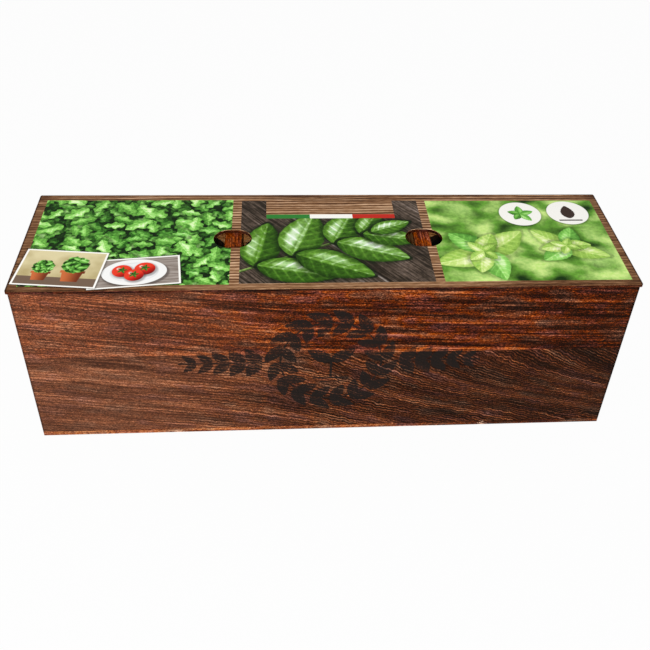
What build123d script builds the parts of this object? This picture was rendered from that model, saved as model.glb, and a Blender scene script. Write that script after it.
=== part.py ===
from build123d import *
import math
import os

# Windowsill herb planter: a box of edge-glued boards with a lift-off printed lid, two dividers,
# and in each compartment a plastic liner that holds a coir block and a seed packet.
# Millimetres. X runs along the box, -Y is the front, Z is up, and the origin is the middle
# of the underside.

# Box
compartment_length = 97.5
compartment_width = 71.5
board_thickness = 9.0
wall_height = 101.0
lower_strip_height = 57.0
base_thickness = 3.0
corner_rebate_depth = 4.5
divider_groove_depth = 3.0
divider_drop = 1.5
board_edge_ease = 0.8
base_edge_ease = 0.5

# Brads that hold the base
brad_shank_diameter = 1.2
brad_head_diameter = 2.4
brad_head_thickness = 0.6
brad_length = 16.0
brad_recess = 0.3

# Lid
lid_thickness = 1.7
lid_overhang = 0.75
lid_edge_ease = 0.3
print_thickness = 0.3
finger_hole_length = 21.0
finger_hole_width = 17.5
batten_width = 8.0
batten_depth = 6.0
batten_clearance = 0.75
batten_edge_ease = 0.6

# Liners
liner_clearance = 0.6
liner_headroom = 20.0
liner_wall = 1.0
liner_rim = 3.0
liner_draft = 3.0
liner_floor_corner = 7.0
liner_floor_ease = 2.5

# Growing medium and seed
coir_clearance = 0.8
coir_height = 14.0
coir_corner = 6.0
coir_edge_ease = 2.0
packet_margin_along = 9.0
packet_margin_across = 7.0
packet_paper = 0.5
packet_seam = 4.0
packet_bulge = 1.2
packet_bulge_slope = 60.0
packet_corner = 1.5
packet_turns = {"left": 5.0, "middle": -4.0, "right": 3.0}

# Derived sizes of the box
inner_length = 3 * compartment_length + 2 * board_thickness
body_length = inner_length + 2 * board_thickness
body_width = compartment_width + 2 * board_thickness
seam_z = base_thickness + lower_strip_height
rim_z = base_thickness + wall_height
compartment_pitch = compartment_length + board_thickness
divider_x = compartment_pitch / 2
long_wall_y = (body_width - board_thickness) / 2
end_wall_x = (body_length - board_thickness) / 2
compartment_x = {"left": -compartment_pitch, "middle": 0.0, "right": compartment_pitch}
strip_levels = {"lower": (base_thickness, seam_z), "upper": (seam_z, rim_z)}

# Derived sizes of the liners and of what lies in them
draft_rise = math.tan(math.radians(liner_draft))
liner_height = wall_height - liner_headroom
liner_rim_length = compartment_length - 2 * liner_clearance
liner_rim_width = compartment_width - 2 * liner_clearance
liner_floor_length = liner_rim_length - 2 * liner_rim - 2 * liner_height * draft_rise
liner_floor_width = liner_rim_width - 2 * liner_rim - 2 * liner_height * draft_rise
hollow_offset = liner_wall - liner_wall * draft_rise
hollow_length = liner_floor_length - 2 * hollow_offset
hollow_width = liner_floor_width - 2 * hollow_offset
hollow_corner = liner_floor_corner - hollow_offset
rim_corner = liner_floor_corner + liner_height * draft_rise + liner_rim
hollow_ease = liner_floor_ease - liner_wall
coir_length = hollow_length - 2 * hollow_ease - 2 * coir_clearance
coir_width = hollow_width - 2 * hollow_ease - 2 * coir_clearance
coir_floor_z = base_thickness + liner_wall
packet_floor_z = coir_floor_z + coir_height
packet_length = coir_length - 2 * packet_margin_along
packet_width = coir_width - 2 * packet_margin_across

# Brad places: two to a compartment along each long wall, two up into each end and divider
long_brad_x = [x + side * compartment_length / 4 for x in compartment_x.values() for side in (-1, 1)]
cross_brad_x = [-end_wall_x, -divider_x, divider_x, end_wall_x]
cross_brad_y = [-compartment_width / 4, compartment_width / 4]
brad_places = [(x, y) for x in long_brad_x for y in (-long_wall_y, long_wall_y)]
brad_places += [(x, y) for x in cross_brad_x for y in cross_brad_y]


def block(length, width, z_low, z_high, x=0.0, y=0.0):
    """A square-edged block between two heights, centred on a place in plan."""
    base = (Align.CENTER, Align.CENTER, Align.MIN)
    return Pos(x, y, z_low) * Box(length, width, z_high - z_low, align=base)


def rod(diameter, z_low, z_high, x=0.0, y=0.0):
    """An upright round rod between two heights."""
    base = (Align.CENTER, Align.CENTER, Align.MIN)
    return Pos(x, y, z_low) * Cylinder(diameter / 2, z_high - z_low, align=base)


def brad(x, y):
    """One brad, its head sunk a little into the underside of the base."""
    head_top = brad_recess + brad_head_thickness
    head = rod(brad_head_diameter, brad_recess, head_top, x, y)
    return head + rod(brad_shank_diameter, head_top, brad_recess + brad_length, x, y)


def without_brads(solid):
    """Cut the holes that the brads were driven into."""
    tip_z = brad_recess + brad_length
    return solid - [rod(brad_shank_diameter, base_thickness, tip_z, x, y) for x, y in brad_places]


def long_strip(side, z_low, z_high):
    """A front (-1) or back (+1) strip, rebated for the ends and grooved for the dividers."""
    strip = block(body_length, board_thickness, z_low, z_high, y=side * long_wall_y)
    outer_edges = strip.edges().filter_by(Axis.Z).group_by(Axis.Y)[0 if side < 0 else -1]
    strip = fillet(outer_edges, board_edge_ease)
    inner_y = side * compartment_width / 2
    for end in (-1, 1):
        rebate_y = inner_y + side * corner_rebate_depth / 2
        strip -= block(board_thickness, corner_rebate_depth, z_low, z_high, end * end_wall_x, rebate_y)
        groove_y = inner_y + side * divider_groove_depth / 2
        strip -= block(board_thickness, divider_groove_depth, z_low, z_high, end * divider_x, groove_y)
    return without_brads(strip)


def end_strip(side, z_low, z_high):
    """A left (-1) or right (+1) end strip, let into the rebates of the front and back."""
    across = compartment_width + 2 * corner_rebate_depth
    return without_brads(block(board_thickness, across, z_low, z_high, x=side * end_wall_x))


def divider(side):
    """A left (-1) or right (+1) divider, housed in the grooves and kept just clear of the lid."""
    across = compartment_width + 2 * divider_groove_depth
    board = block(board_thickness, across, base_thickness, rim_z - divider_drop, x=side * divider_x)
    return without_brads(board)


def base_panel():
    """The panel under the walls, with a sunk hole for each brad."""
    panel = block(body_length, body_width, 0.0, base_thickness)
    panel = fillet(panel.edges().filter_by(Axis.Z), board_edge_ease)
    panel = chamfer(panel.faces().sort_by(Axis.Z)[0].edges(), base_edge_ease)
    head_top = brad_recess + brad_head_thickness
    sinkings = [rod(brad_head_diameter, 0.0, head_top, x, y) for x, y in brad_places]
    shank_holes = [rod(brad_shank_diameter, 0.0, base_thickness, x, y) for x, y in brad_places]
    return panel - sinkings - shank_holes


def lid_sheet(z_low, z_high):
    """A sheet of the lid's outline, pierced by the finger holes over the dividers."""
    sheet = block(body_length + 2 * lid_overhang, body_width + 2 * lid_overhang, z_low, z_high)
    sheet = fillet(sheet.edges().filter_by(Axis.Z), board_edge_ease)
    hole = extrude(SlotOverall(finger_hole_length, finger_hole_width), amount=z_high - z_low)
    return sheet - [Pos(side * divider_x, 0, z_low) * hole for side in (-1, 1)]


def lid_panel():
    """The rigid lid board, its lower edge eased."""
    panel = lid_sheet(rim_z, rim_z + lid_thickness)
    lower_outline = panel.faces().sort_by(Axis.Z)[0].outer_wire().edges()
    return chamfer(lower_outline, lid_edge_ease)


def lid_batten(side):
    """A batten glued under the lid, just inside the left (-1) or right (+1) end."""
    x = side * (inner_length / 2 - batten_clearance - batten_width / 2)
    across = compartment_width - 2 * batten_clearance
    batten = block(batten_width, across, rim_z - batten_depth, rim_z, x=x)
    return chamfer(batten.faces().sort_by(Axis.Z)[0].edges(), batten_edge_ease)


def liner(x):
    """A tapered open liner with a flat rim, standing on the base."""
    shell = extrude(RectangleRounded(liner_floor_length, liner_floor_width, liner_floor_corner),
                    amount=liner_height, taper=-liner_draft)
    shell = fillet(shell.faces().sort_by(Axis.Z)[0].edges(), liner_floor_ease)
    rim = extrude(RectangleRounded(liner_rim_length, liner_rim_width, rim_corner), amount=liner_wall)
    hollow = extrude(RectangleRounded(hollow_length, hollow_width, hollow_corner),
                     amount=liner_height, taper=-liner_draft)
    hollow = fillet(hollow.faces().sort_by(Axis.Z)[0].edges(), hollow_ease)
    shell += Pos(0, 0, liner_height - liner_wall) * rim
    shell -= Pos(0, 0, liner_wall) * hollow
    return Pos(x, 0, base_thickness) * shell


def coir_block(x):
    """A pressed block of coir on the liner's floor."""
    brick = extrude(RectangleRounded(coir_length, coir_width, coir_corner), amount=coir_height)
    brick = fillet(brick.faces().sort_by(Axis.Z)[-1].edges(), coir_edge_ease)
    return Pos(x, 0, coir_floor_z) * brick


def seed_packet(x, turn):
    """A paper packet, full in the middle and flat at its seams, lying on the coir."""
    seams = extrude(RectangleRounded(packet_length, packet_width, packet_corner), amount=packet_paper)
    pouch = RectangleRounded(packet_length - 2 * packet_seam, packet_width - 2 * packet_seam, packet_corner)
    crown = extrude(pouch, amount=packet_bulge, taper=packet_bulge_slope)
    packet = seams + Pos(0, 0, packet_paper) * crown + mirror(crown, Plane.XY)
    return Pos(x, 0, packet_floor_z + packet_bulge) * Rot(0, 0, turn) * packet


pieces = {}
for level, (z_low, z_high) in strip_levels.items():
    for name, side in (("front", -1), ("back", 1)):
        pieces[f"{name}_{level}_strip"] = long_strip(side, z_low, z_high)
    for name, side in (("left", -1), ("right", 1)):
        pieces[f"{name}_end_{level}_strip"] = end_strip(side, z_low, z_high)
for name, side in (("left", -1), ("right", 1)):
    pieces[f"{name}_divider"] = divider(side)
    pieces[f"lid_{name}_batten"] = lid_batten(side)
pieces["base_panel"] = base_panel()
pieces["base_brads"] = Compound([brad(x, y).solid() for x, y in brad_places])
pieces["lid_panel"] = lid_panel()
pieces["lid_print"] = lid_sheet(rim_z + lid_thickness, rim_z + lid_thickness + print_thickness)
for name, x in compartment_x.items():
    pieces[f"liner_{name}"] = liner(x)
    pieces[f"coir_block_{name}"] = coir_block(x)
    pieces[f"seed_packet_{name}"] = seed_packet(x, packet_turns[name])

os.makedirs("parts", exist_ok=True)
for name, solid in pieces.items():
    export_step(solid, f"parts/{name}.step")
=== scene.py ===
import math
import random

import bmesh
import bpy
from mathutils import Matrix, Vector, noise


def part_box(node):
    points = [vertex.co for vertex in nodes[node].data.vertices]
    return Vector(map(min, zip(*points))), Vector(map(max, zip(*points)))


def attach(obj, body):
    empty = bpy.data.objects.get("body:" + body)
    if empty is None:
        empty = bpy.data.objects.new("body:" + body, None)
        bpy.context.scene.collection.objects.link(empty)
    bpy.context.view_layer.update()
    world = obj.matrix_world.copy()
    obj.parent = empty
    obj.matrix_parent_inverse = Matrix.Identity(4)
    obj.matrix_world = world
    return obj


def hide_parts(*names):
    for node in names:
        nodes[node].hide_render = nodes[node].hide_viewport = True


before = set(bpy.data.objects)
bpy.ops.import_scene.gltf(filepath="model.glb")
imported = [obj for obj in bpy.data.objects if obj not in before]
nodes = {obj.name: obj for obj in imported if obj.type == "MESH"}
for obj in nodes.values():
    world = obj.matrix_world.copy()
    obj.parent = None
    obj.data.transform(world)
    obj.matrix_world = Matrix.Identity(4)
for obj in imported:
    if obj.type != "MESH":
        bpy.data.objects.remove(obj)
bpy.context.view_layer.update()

# Windowsill herb planter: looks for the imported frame. Metres, +Z up, -Y is the front.
# Patterns are laid out in millimetres, on Object coordinates times MM_PER_M.
MM = 0.001
MM_PER_M = 1000.0
TURN = 2.0 * math.pi

# Camera, solved from the straight edges of the box and its lid
CAMERA_PLACE = Vector((-0.03043, -0.39422, 0.37555))
CAMERA_PITCH = 38.989
CAMERA_YAW = 6.544
CAMERA_ROLL = 3.345
CAMERA_SHIFT = (-0.0408, -0.0235)
PICTURE_WIDTH_PX = 650.0
FOCAL_LENGTH_PX = 857.0
SENSOR_WIDTH_MM = 36.0


# Shader arithmetic

def srgb(red, green, blue):
    """A colour as seen on a screen, 0 to 255, as the linear colour that a shader takes."""
    def linear(value):
        value /= 255.0
        return value / 12.92 if value <= 0.04045 else ((value + 0.055) / 1.055) ** 2.4
    return (linear(red), linear(green), linear(blue), 1.0)


def plug(value, socket):
    """Link a shade to a socket, or set the socket to a plain value."""
    if isinstance(value, Shade):
        value.tree.links.new(value.socket, socket)
    else:
        socket.default_value = value


def new_node(tree, kind, inputs, **settings):
    """Add a node to a tree, with its settings, and with its inputs by label or number."""
    node = tree.nodes.new(f"ShaderNode{kind}")
    for name, setting in settings.items():
        setattr(node, name, setting)
    for label, value in inputs.items():
        plug(value, node.inputs[label])
    return node


def added(tree, kind, inputs, output=0, **settings):
    """One output of a new node."""
    return Shade(new_node(tree, kind, inputs, **settings).outputs[output])


class Shade:
    """A node output. Arithmetic on it adds Math nodes to its tree."""

    def __init__(self, socket):
        self.socket = socket
        self.tree = socket.id_data

    def math(self, operation, *others):
        return added(self.tree, "Math", dict(enumerate((self, *others))), operation=operation)

    def __add__(self, other):
        return self.math("ADD", other)

    def __sub__(self, other):
        return self.math("SUBTRACT", other)

    def __mul__(self, other):
        return self.math("MULTIPLY", other)

    def __truediv__(self, other):
        return self.math("DIVIDE", other)

    def __neg__(self):
        return self.math("MULTIPLY", -1.0)

    def __rsub__(self, other):
        return -self + other

    __radd__ = __add__
    __rmul__ = __mul__

    def __abs__(self):
        return self.math("ABSOLUTE")

    def __pow__(self, power):
        return self.math("POWER", power)

    def ramp(self, start, end):
        """0 at start, 1 at end, eased in between. The start may be above the end."""
        return added(self.tree, "MapRange", {"Value": self, "From Min": start, "From Max": end},
                     interpolation_type="SMOOTHSTEP")

    def palette(self, *stops, interpolation="LINEAR"):
        """A colour for each value: stops are (value, red, green, blue), the colour as srgb takes it."""
        node = new_node(self.tree, "ValToRGB", {"Fac": self})
        node.color_ramp.interpolation = interpolation
        elements = node.color_ramp.elements
        while len(elements) < len(stops):
            elements.new(0.5)
        for element, (value, *colour) in zip(elements, stops):
            element.position = value
            element.color = srgb(*colour)
        return Shade(node.outputs["Color"])

    def toned(self, hue, saturation, value):
        """The colour with its hue turned from 0.5, and its saturation and brightness multiplied."""
        return added(self.tree, "HueSaturation",
                     {"Hue": hue, "Saturation": saturation, "Value": value, "Color": self}, "Color")

    def parts(self):
        """The X, Y and Z of a vector."""
        return [Shade(socket) for socket in new_node(self.tree, "SeparateXYZ", {0: self}).outputs]


def point(x, y, z=0.0):
    return added(x.tree, "CombineXYZ", {"X": x, "Y": y, "Z": z})


def tree_of(*values):
    """The node tree of the first shade among some values."""
    return next(value.tree for value in values if isinstance(value, Shade))


# Sockets of a Mix node that are for colours
MIX_FACTOR = 0
MIX_FIRST = 6
MIX_SECOND = 7
MIX_RESULT = 2


def mix(factor, first, second, mode="MIX"):
    """The first colour where the factor is 0, the second where it is 1."""
    return added(tree_of(factor, first, second), "Mix",
                 {MIX_FACTOR: factor, MIX_FIRST: first, MIX_SECOND: second}, MIX_RESULT,
                 data_type="RGBA", blend_type=mode)


def largest(first, *others):
    for other in others:
        first = first.math("MAXIMUM", other)
    return first


def cloud(x, y, z=0.0, detail=2.0, roughness=0.5):
    """Smooth noise about 0.5, one lump to a unit of the place."""
    return added(x.tree, "TexNoise", {"Vector": point(x, y, z), "Scale": 1.0, "Detail": detail,
                                      "Roughness": roughness}, "Fac")


def chance_at(index):
    """A random number from 0 to 1 for each whole number."""
    return added(index.tree, "TexWhiteNoise", {"W": index}, "Value", noise_dimensions="1D")


def bump(height, distance):
    """A normal from a height that runs from 0 to 1, over a depth in metres."""
    return added(height.tree, "Bump", {"Distance": distance, "Height": height}, "Normal")


class Group:
    """A shader node group of plain numbers: its inputs are read as shades, and close() sets its outputs."""

    def __init__(self, name, inputs, outputs):
        self.tree = bpy.data.node_groups.new(name, "ShaderNodeTree")
        for way, labels in (("INPUT", inputs), ("OUTPUT", outputs)):
            for label in labels.split():
                self.tree.interface.new_socket(label, in_out=way, socket_type="NodeSocketFloat")
        entry = self.tree.nodes.new("NodeGroupInput")
        self.inputs = [Shade(entry.outputs[label]) for label in inputs.split()]

    def close(self, **results):
        leave = self.tree.nodes.new("NodeGroupOutput")
        for label, value in results.items():
            plug(value, leave.inputs[label])
        return self

    def place(self, **values):
        """Put the group into the tree of its inputs, and give its outputs by name."""
        node = new_node(tree_of(*values.values()), "Group", values, node_tree=self.tree)
        return {socket.name: Shade(socket) for socket in node.outputs}


class Finish:
    """A material with one Principled shader, and its Object coordinates in millimetres."""

    def __init__(self, name):
        self.material = bpy.data.materials.new(name)
        self.material.use_nodes = True
        self.tree = self.material.node_tree
        self.shader = self.tree.nodes["Principled BSDF"]
        place = added(self.tree, "TexCoord", {}, "Object")
        self.x, self.y, self.z = (part * MM_PER_M for part in place.parts())

    def attribute(self, name):
        return added(self.tree, "Attribute", {}, "Fac", attribute_name=name)

    def set(self, **values):
        for label, value in values.items():
            plug(value, self.shader.inputs[label.replace("_", " ")])
        return self.material


# Grain shared by every wooden piece

def fibre_group():
    """Fibres, pale flecks and dark pores: Along runs with the grain, Across and Through square to it."""
    group = Group("wood_fibre", "Along Across Through", "Fibre Specks Lines Streak Pores Flecks Tint Hue")
    along, across, through = group.inputs
    wander = cloud(along / 60.0, across / 20.0, through / 20.0) - 0.5
    drifted = across + wander * 2.0

    def speckle(length, height, shift, detail, roughness=0.5):
        return cloud(along / length + shift, drifted / height, through / height, detail, roughness)

    return group.close(Fibre=speckle(2.0, 0.7, 0.0, 3.0, 0.6), Specks=speckle(0.85, 0.55, 53.0, 1.0),
                       Lines=speckle(40.0, 0.75, 71.0, 2.0, 0.6), Streak=speckle(70.0, 3.2, 5.0, 2.0, 0.6),
                       Pores=speckle(1.9, 0.55, 11.0, 1.0).ramp(0.56, 0.68),
                       Flecks=speckle(2.4, 0.55, 23.0, 1.0).ramp(0.6, 0.74),
                       Tint=speckle(38.0, 11.0, 37.0, 2.0), Hue=speckle(15.0, 6.0, 91.0, 2.0))


WOOD_FIBRE = fibre_group()

# Wood colours from the darkest grain to the lightest
UPPER_STAIN = ((0.0, 22, 7, 2), (0.25, 56, 22, 9), (0.5, 92, 40, 19),
               (0.75, 130, 61, 29), (1.0, 184, 104, 60))
LOWER_STAIN = ((0.0, 22, 9, 4), (0.25, 55, 28, 16), (0.5, 88, 48, 30),
               (0.75, 122, 71, 46), (1.0, 176, 112, 76))
EDGE_STAIN = ((0.0, 42, 19, 10), (0.3, 84, 41, 23), (0.55, 124, 67, 42),
              (0.8, 155, 90, 57), (1.0, 198, 134, 90))
DIVIDER_STAIN = ((0.0, 44, 15, 4), (0.25, 86, 34, 11), (0.5, 126, 55, 20),
                 (0.75, 160, 78, 32), (1.0, 200, 114, 60))
RAW_WOOD = ((0.0, 150, 86, 40), (0.3, 198, 128, 68), (0.55, 222, 154, 90),
            (0.8, 236, 176, 112), (1.0, 246, 204, 148))
HARDBOARD = ((0.0, 76, 38, 17), (0.5, 122, 66, 32), (1.0, 164, 98, 54))
# Cut edges of the lid board: a dark stain, made darker as painted shade like the shadow under the lid's
# front edge
LID_EDGE_STAIN_AND_SHADE = ((0.0, 15, 5, 2), (0.3, 38, 14, 7), (0.6, 62, 26, 13), (1.0, 104, 52, 32))
# Greyer stain colours, also mixed in toward the left end of the boards as painted sheen of light from the
# left
GREY_STAIN_AND_SHEEN = ((0.0, 72, 44, 32), (0.25, 87, 54, 39), (0.5, 104, 66, 48),
                (0.75, 122, 79, 58), (1.0, 158, 108, 84))
BARE_WOOD = srgb(214, 172, 144)
STENCIL_INK = srgb(26, 22, 20)
RING_PITCH = 2.1

# Knocks on the lower front edge: place along it, half length and height, in millimetres
SCUFFS = ((-88.0, 10.0, 4.0), (92.0, 6.0, 6.0))
SCUFFED_FRONT_Y = (-43.0, -44.0)
WOOD_BUMP = 0.12 * MM
WOOD_SPECULAR = 0.03


def scuffs(finish):
    """Small knocks along the lower edge of the front, where the wood is bare."""
    ragged = cloud(finish.x / 1.2, finish.z / 0.8, detail=3.0, roughness=0.6)
    found = 0.0
    for place, reach, rise in SCUFFS:
        off = abs(finish.x - place) / reach + finish.z / rise
        found = (ragged * 2.4 - off).ramp(0.6, 0.95) + found
    return found * finish.y.ramp(*SCUFFED_FRONT_Y) * 0.75


def stained_wood(name, stain, runs_along="x", face="y", relief=False, rings=0.0, speckle=1.0,
                 ornament=None, worn=False, stained=None, raw=RAW_WOOD, stain_and_shade_per_mm=0.0):
    """Brushed and stained wood. The grain runs along one axis, and face is the axis square to the board.
    Rings is the strength of the year rings on a flat-cut board, speckle that of the fine flecks, and worn
    adds knocks. Stained gives where the stain lies on raw wood. The wood gets darker to the right, partly
    the stain and partly painted shade for light that falls off away from the lamp on the left."""
    finish = Finish(name)
    axes = {"x": finish.x, "y": finish.y, "z": finish.z}
    across_axis = ({"x", "y", "z"} - {runs_along, face}).pop()
    across = axes[across_axis]
    if relief:
        across = across + finish.attribute("drift")
    wood = WOOD_FIBRE.place(Along=axes[runs_along], Across=across, Through=axes[face])
    tone = (wood["Streak"] - 0.5) * 1.5 + 0.5
    if relief:
        outer = finish.attribute("outer")
        tone = finish.attribute("grain") * outer + tone * (1.0 - outer)
    specks = (wood["Fibre"] - 0.5) * 1.1 + (wood["Specks"] - 0.5) * 1.4 + (wood["Lines"] - 0.5) * 1.6
    specks = specks - wood["Pores"] * 0.25 + wood["Flecks"] * 0.2
    tone = tone + specks * speckle + wood["Lines"].ramp(0.62, 0.74) * 0.22
    if rings:
        phase = across * (TURN / RING_PITCH) + (wood["Fibre"] - 0.5) * 2.0
        patchy = wood["Tint"].ramp(0.3, 0.6) * 0.5 + 0.5
        rightward = finish.x.ramp(-120.0, 10.0) * 0.65 + 0.35
        tone = tone + phase.math("SINE") * (patchy * rightward * rings)
    # Darker to the right: partly the stain, partly painted shade for light that falls off away from the
    # lamp on the left
    if stain_and_shade_per_mm:
        tone = tone - finish.x * stain_and_shade_per_mm
    off_hue = wood["Hue"] - 0.5
    colour = tone.palette(*stain)
    colour = colour.toned(off_hue * 0.04 + 0.5, 1.06 - abs(off_hue) * 0.9, 1.06 - abs(off_hue) * 1.0)
    # Greyer in random patches of stain; on relief boards also greyer toward the left end, partly paler
    # stain and partly painted sheen of light from the left
    greyed_and_sheen = wood["Tint"].ramp(0.5, 0.75) * 0.08
    if relief:
        greyed_and_sheen = greyed_and_sheen + finish.x.ramp(10.0, -130.0) * 0.5
    colour = mix(greyed_and_sheen, colour, tone.palette(*GREY_STAIN_AND_SHEEN))
    if worn:
        colour = mix(scuffs(finish), colour, BARE_WOOD)
    if ornament:
        colour = mix(ornament(finish, tone), colour, STENCIL_INK)
    if stained:
        colour = mix(stained(finish), tone.palette(*raw), colour)
    height = wood["Fibre"] * 0.6 - wood["Pores"] * 0.5 + wood["Flecks"] * 0.3
    return finish.set(Base_Color=colour, Roughness=0.55 - (wood["Fibre"] - 0.5) * 0.3,
                      Normal=bump(height, WOOD_BUMP), Specular_IOR_Level=WOOD_SPECULAR)


# Boards with brushed grain

STREAK_Z = 93.0
STREAK_WIDTH = 2.2


def smooth(value, start, end):
    """0 at start, 1 at end, eased in between."""
    t = min(1.0, max(0.0, (value - start) / (end - start)))
    return t * t * (3.0 - 2.0 * t)


def noise_plane(seed):
    """Noise over a plane, another plane for each seed."""
    return lambda x, y: noise.noise(Vector((x, y, seed)))


def straight_grain(along, across, seed):
    """Tone, height and sideways drift of quarter-cut wood, in millimetres along and across the grain."""
    n = noise_plane(seed)
    bow = along + 40.0
    drift = 0.04 * along + 0.05 * (bow - math.hypot(bow, 30.0))
    drift += 1.2 * n(along / 110.0, across / 30.0) + 0.35 * n(along / 28.0, across / 9.0)
    ring = across + drift
    broad = 1.6 * n(along / 130.0 + 7.0, ring / 4.2)
    band = 1.6 * n(along / 42.0 + 19.0, ring / 1.6)
    fine = 1.5 * n(along / 13.0 + 31.0, ring / 0.8)
    fading = smooth(along, 95.0, 125.0)
    lit_seam = (1.0 - fading) * (0.22 + 0.4 * n(along / 45.0, 3.0)) - 0.2 * fading
    seam_glow = smooth(across, 64.2, 62.2) * lit_seam
    rim_shade = smooth(across, 101.5, 103.0)
    calm = 0.55 + 0.45 * smooth(along, -130.0, 10.0)
    off_streak = (across + 0.3 * drift - STREAK_Z) / STREAK_WIDTH
    dark_streak = math.exp(-off_streak ** 2) * smooth(along, -130.0, 0.0)
    warm_along = smooth(along, 10.0, 70.0) * (1.0 - 0.7 * smooth(along, 100.0, 140.0))
    warm_side = warm_along * smooth(across, 92.0, 84.0)
    top_glow = smooth(across, 95.0, 97.5) * smooth(along, 120.0, 50.0) * smooth(along, -150.0, -80.0)
    tone = 0.38 + 0.03 * smooth(along, -110.0, -60.0)
    tone += (0.2 * broad + 0.2 * band + 0.14 * fine) * calm + seam_glow
    tone += 0.1 * warm_side + 0.1 * top_glow - 0.2 * dark_streak - 0.15 * rim_shade
    return tone, 0.5 + 0.3 * band + 0.4 * fine, drift


def figured_grain(along, across, seed):
    """Tone, height and sideways drift of flat-cut wood, whose rings sweep down to the right and ripple."""
    n = noise_plane(seed)
    bend, foot = along - 10.0, along - 40.0
    sweep = 0.12 * along + 0.25 * (bend + math.hypot(bend, 60.0))
    levelled = 0.13 * (foot + math.hypot(foot, 30.0)) * smooth(across, 50.0, 5.0)
    ripple = 1.2 * n(along / 2.7, across / 7.0) * smooth(along, -120.0, 0.0)
    drift = sweep - levelled + 2.4 * n(along / 95.0, across / 40.0)
    drift += 0.6 * n(along / 30.0, across / 12.0) + 0.6 * n(along / 22.0, across / 5.0) + ripple
    ring = across + drift
    line = 0.5 + 0.5 * math.sin(TURN * ring / RING_PITCH)
    broad = 1.6 * n(along / 120.0 + 7.0, ring / 9.0)
    band = 1.6 * n(along / 30.0 + 19.0, ring / 1.9)
    fine = 1.5 * n(along / 10.0 + 31.0, ring / 0.8)
    seam_shade = smooth(across, 48.0, 58.0) * smooth(along, -40.0, -110.0)
    calm = 0.5 + 0.5 * smooth(along, -110.0, 0.0)
    tone = 0.36 + 0.2 * broad * calm + 0.12 * band + (0.16 - 0.08 * calm) * fine - 0.14 * seam_shade
    return tone, 0.25 + 0.6 * line + 0.25 * fine, drift


def deselect():
    bpy.ops.object.select_all(action="DESELECT")


def pick_all():
    bpy.ops.mesh.select_all(action="SELECT")


def pick(mesh, elements, wanted):
    """Select, in edit mode, the vertices, edges or faces that a test names."""
    bpy.ops.mesh.select_mode(type={"verts": "VERT", "edges": "EDGE", "faces": "FACE"}[elements])
    bpy.ops.mesh.select_all(action="DESELECT")
    shape = bmesh.from_edit_mesh(mesh)
    for element in getattr(shape, elements):
        element.select_set(bool(wanted(element)))
    bmesh.update_edit_mesh(mesh)


def sized(thing, name, size):
    """Name the flat piece that was just added, give it its length and width, and open it for editing."""
    thing.name = thing.data.name = name
    thing.scale = (size.x, size.y, 1.0)
    bpy.ops.object.transform_apply(location=True, rotation=True, scale=True)
    bpy.ops.object.mode_set(mode="EDIT")
    return thing


def plan_sheet(name, low, high, z):
    """A flat rectangle at a height, open for editing."""
    centre = (low + high) / 2
    deselect()
    bpy.ops.mesh.primitive_plane_add(size=1.0, location=(centre.x, centre.y, z))
    return sized(bpy.context.object, name, high - low)


def raise_rows(height, rows):
    """Raise a flat piece into a block, row by row, and close it for editing."""
    pick_all()
    for _ in range(rows):
        bpy.ops.mesh.extrude_region_move(TRANSFORM_OT_translate={"value": (0, 0, height / rows)})
    pick_all()
    bpy.ops.mesh.normals_make_consistent(inside=False)
    bpy.ops.object.mode_set(mode="OBJECT")


BOARD_STEP_ALONG = 0.9 * MM
BOARD_STEP_UP = 0.45 * MM
BOARD_EASE = 0.8 * MM
BRUSHED_DEPTH = 0.16 * MM
ARRIS_DEPTH = 0.25 * MM
ARRIS_REACH = 0.7 * MM
END_DARKENING_REACH = 1.6 * MM
END_DARKENING_TONE = 0.4
CELLS_PER_CUT = 5
EASE_SEGMENTS = 3
BOARD_SMOOTHING = math.radians(40)
FLAT_ANGLE = 0.01
NEAR = 1e-5


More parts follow.
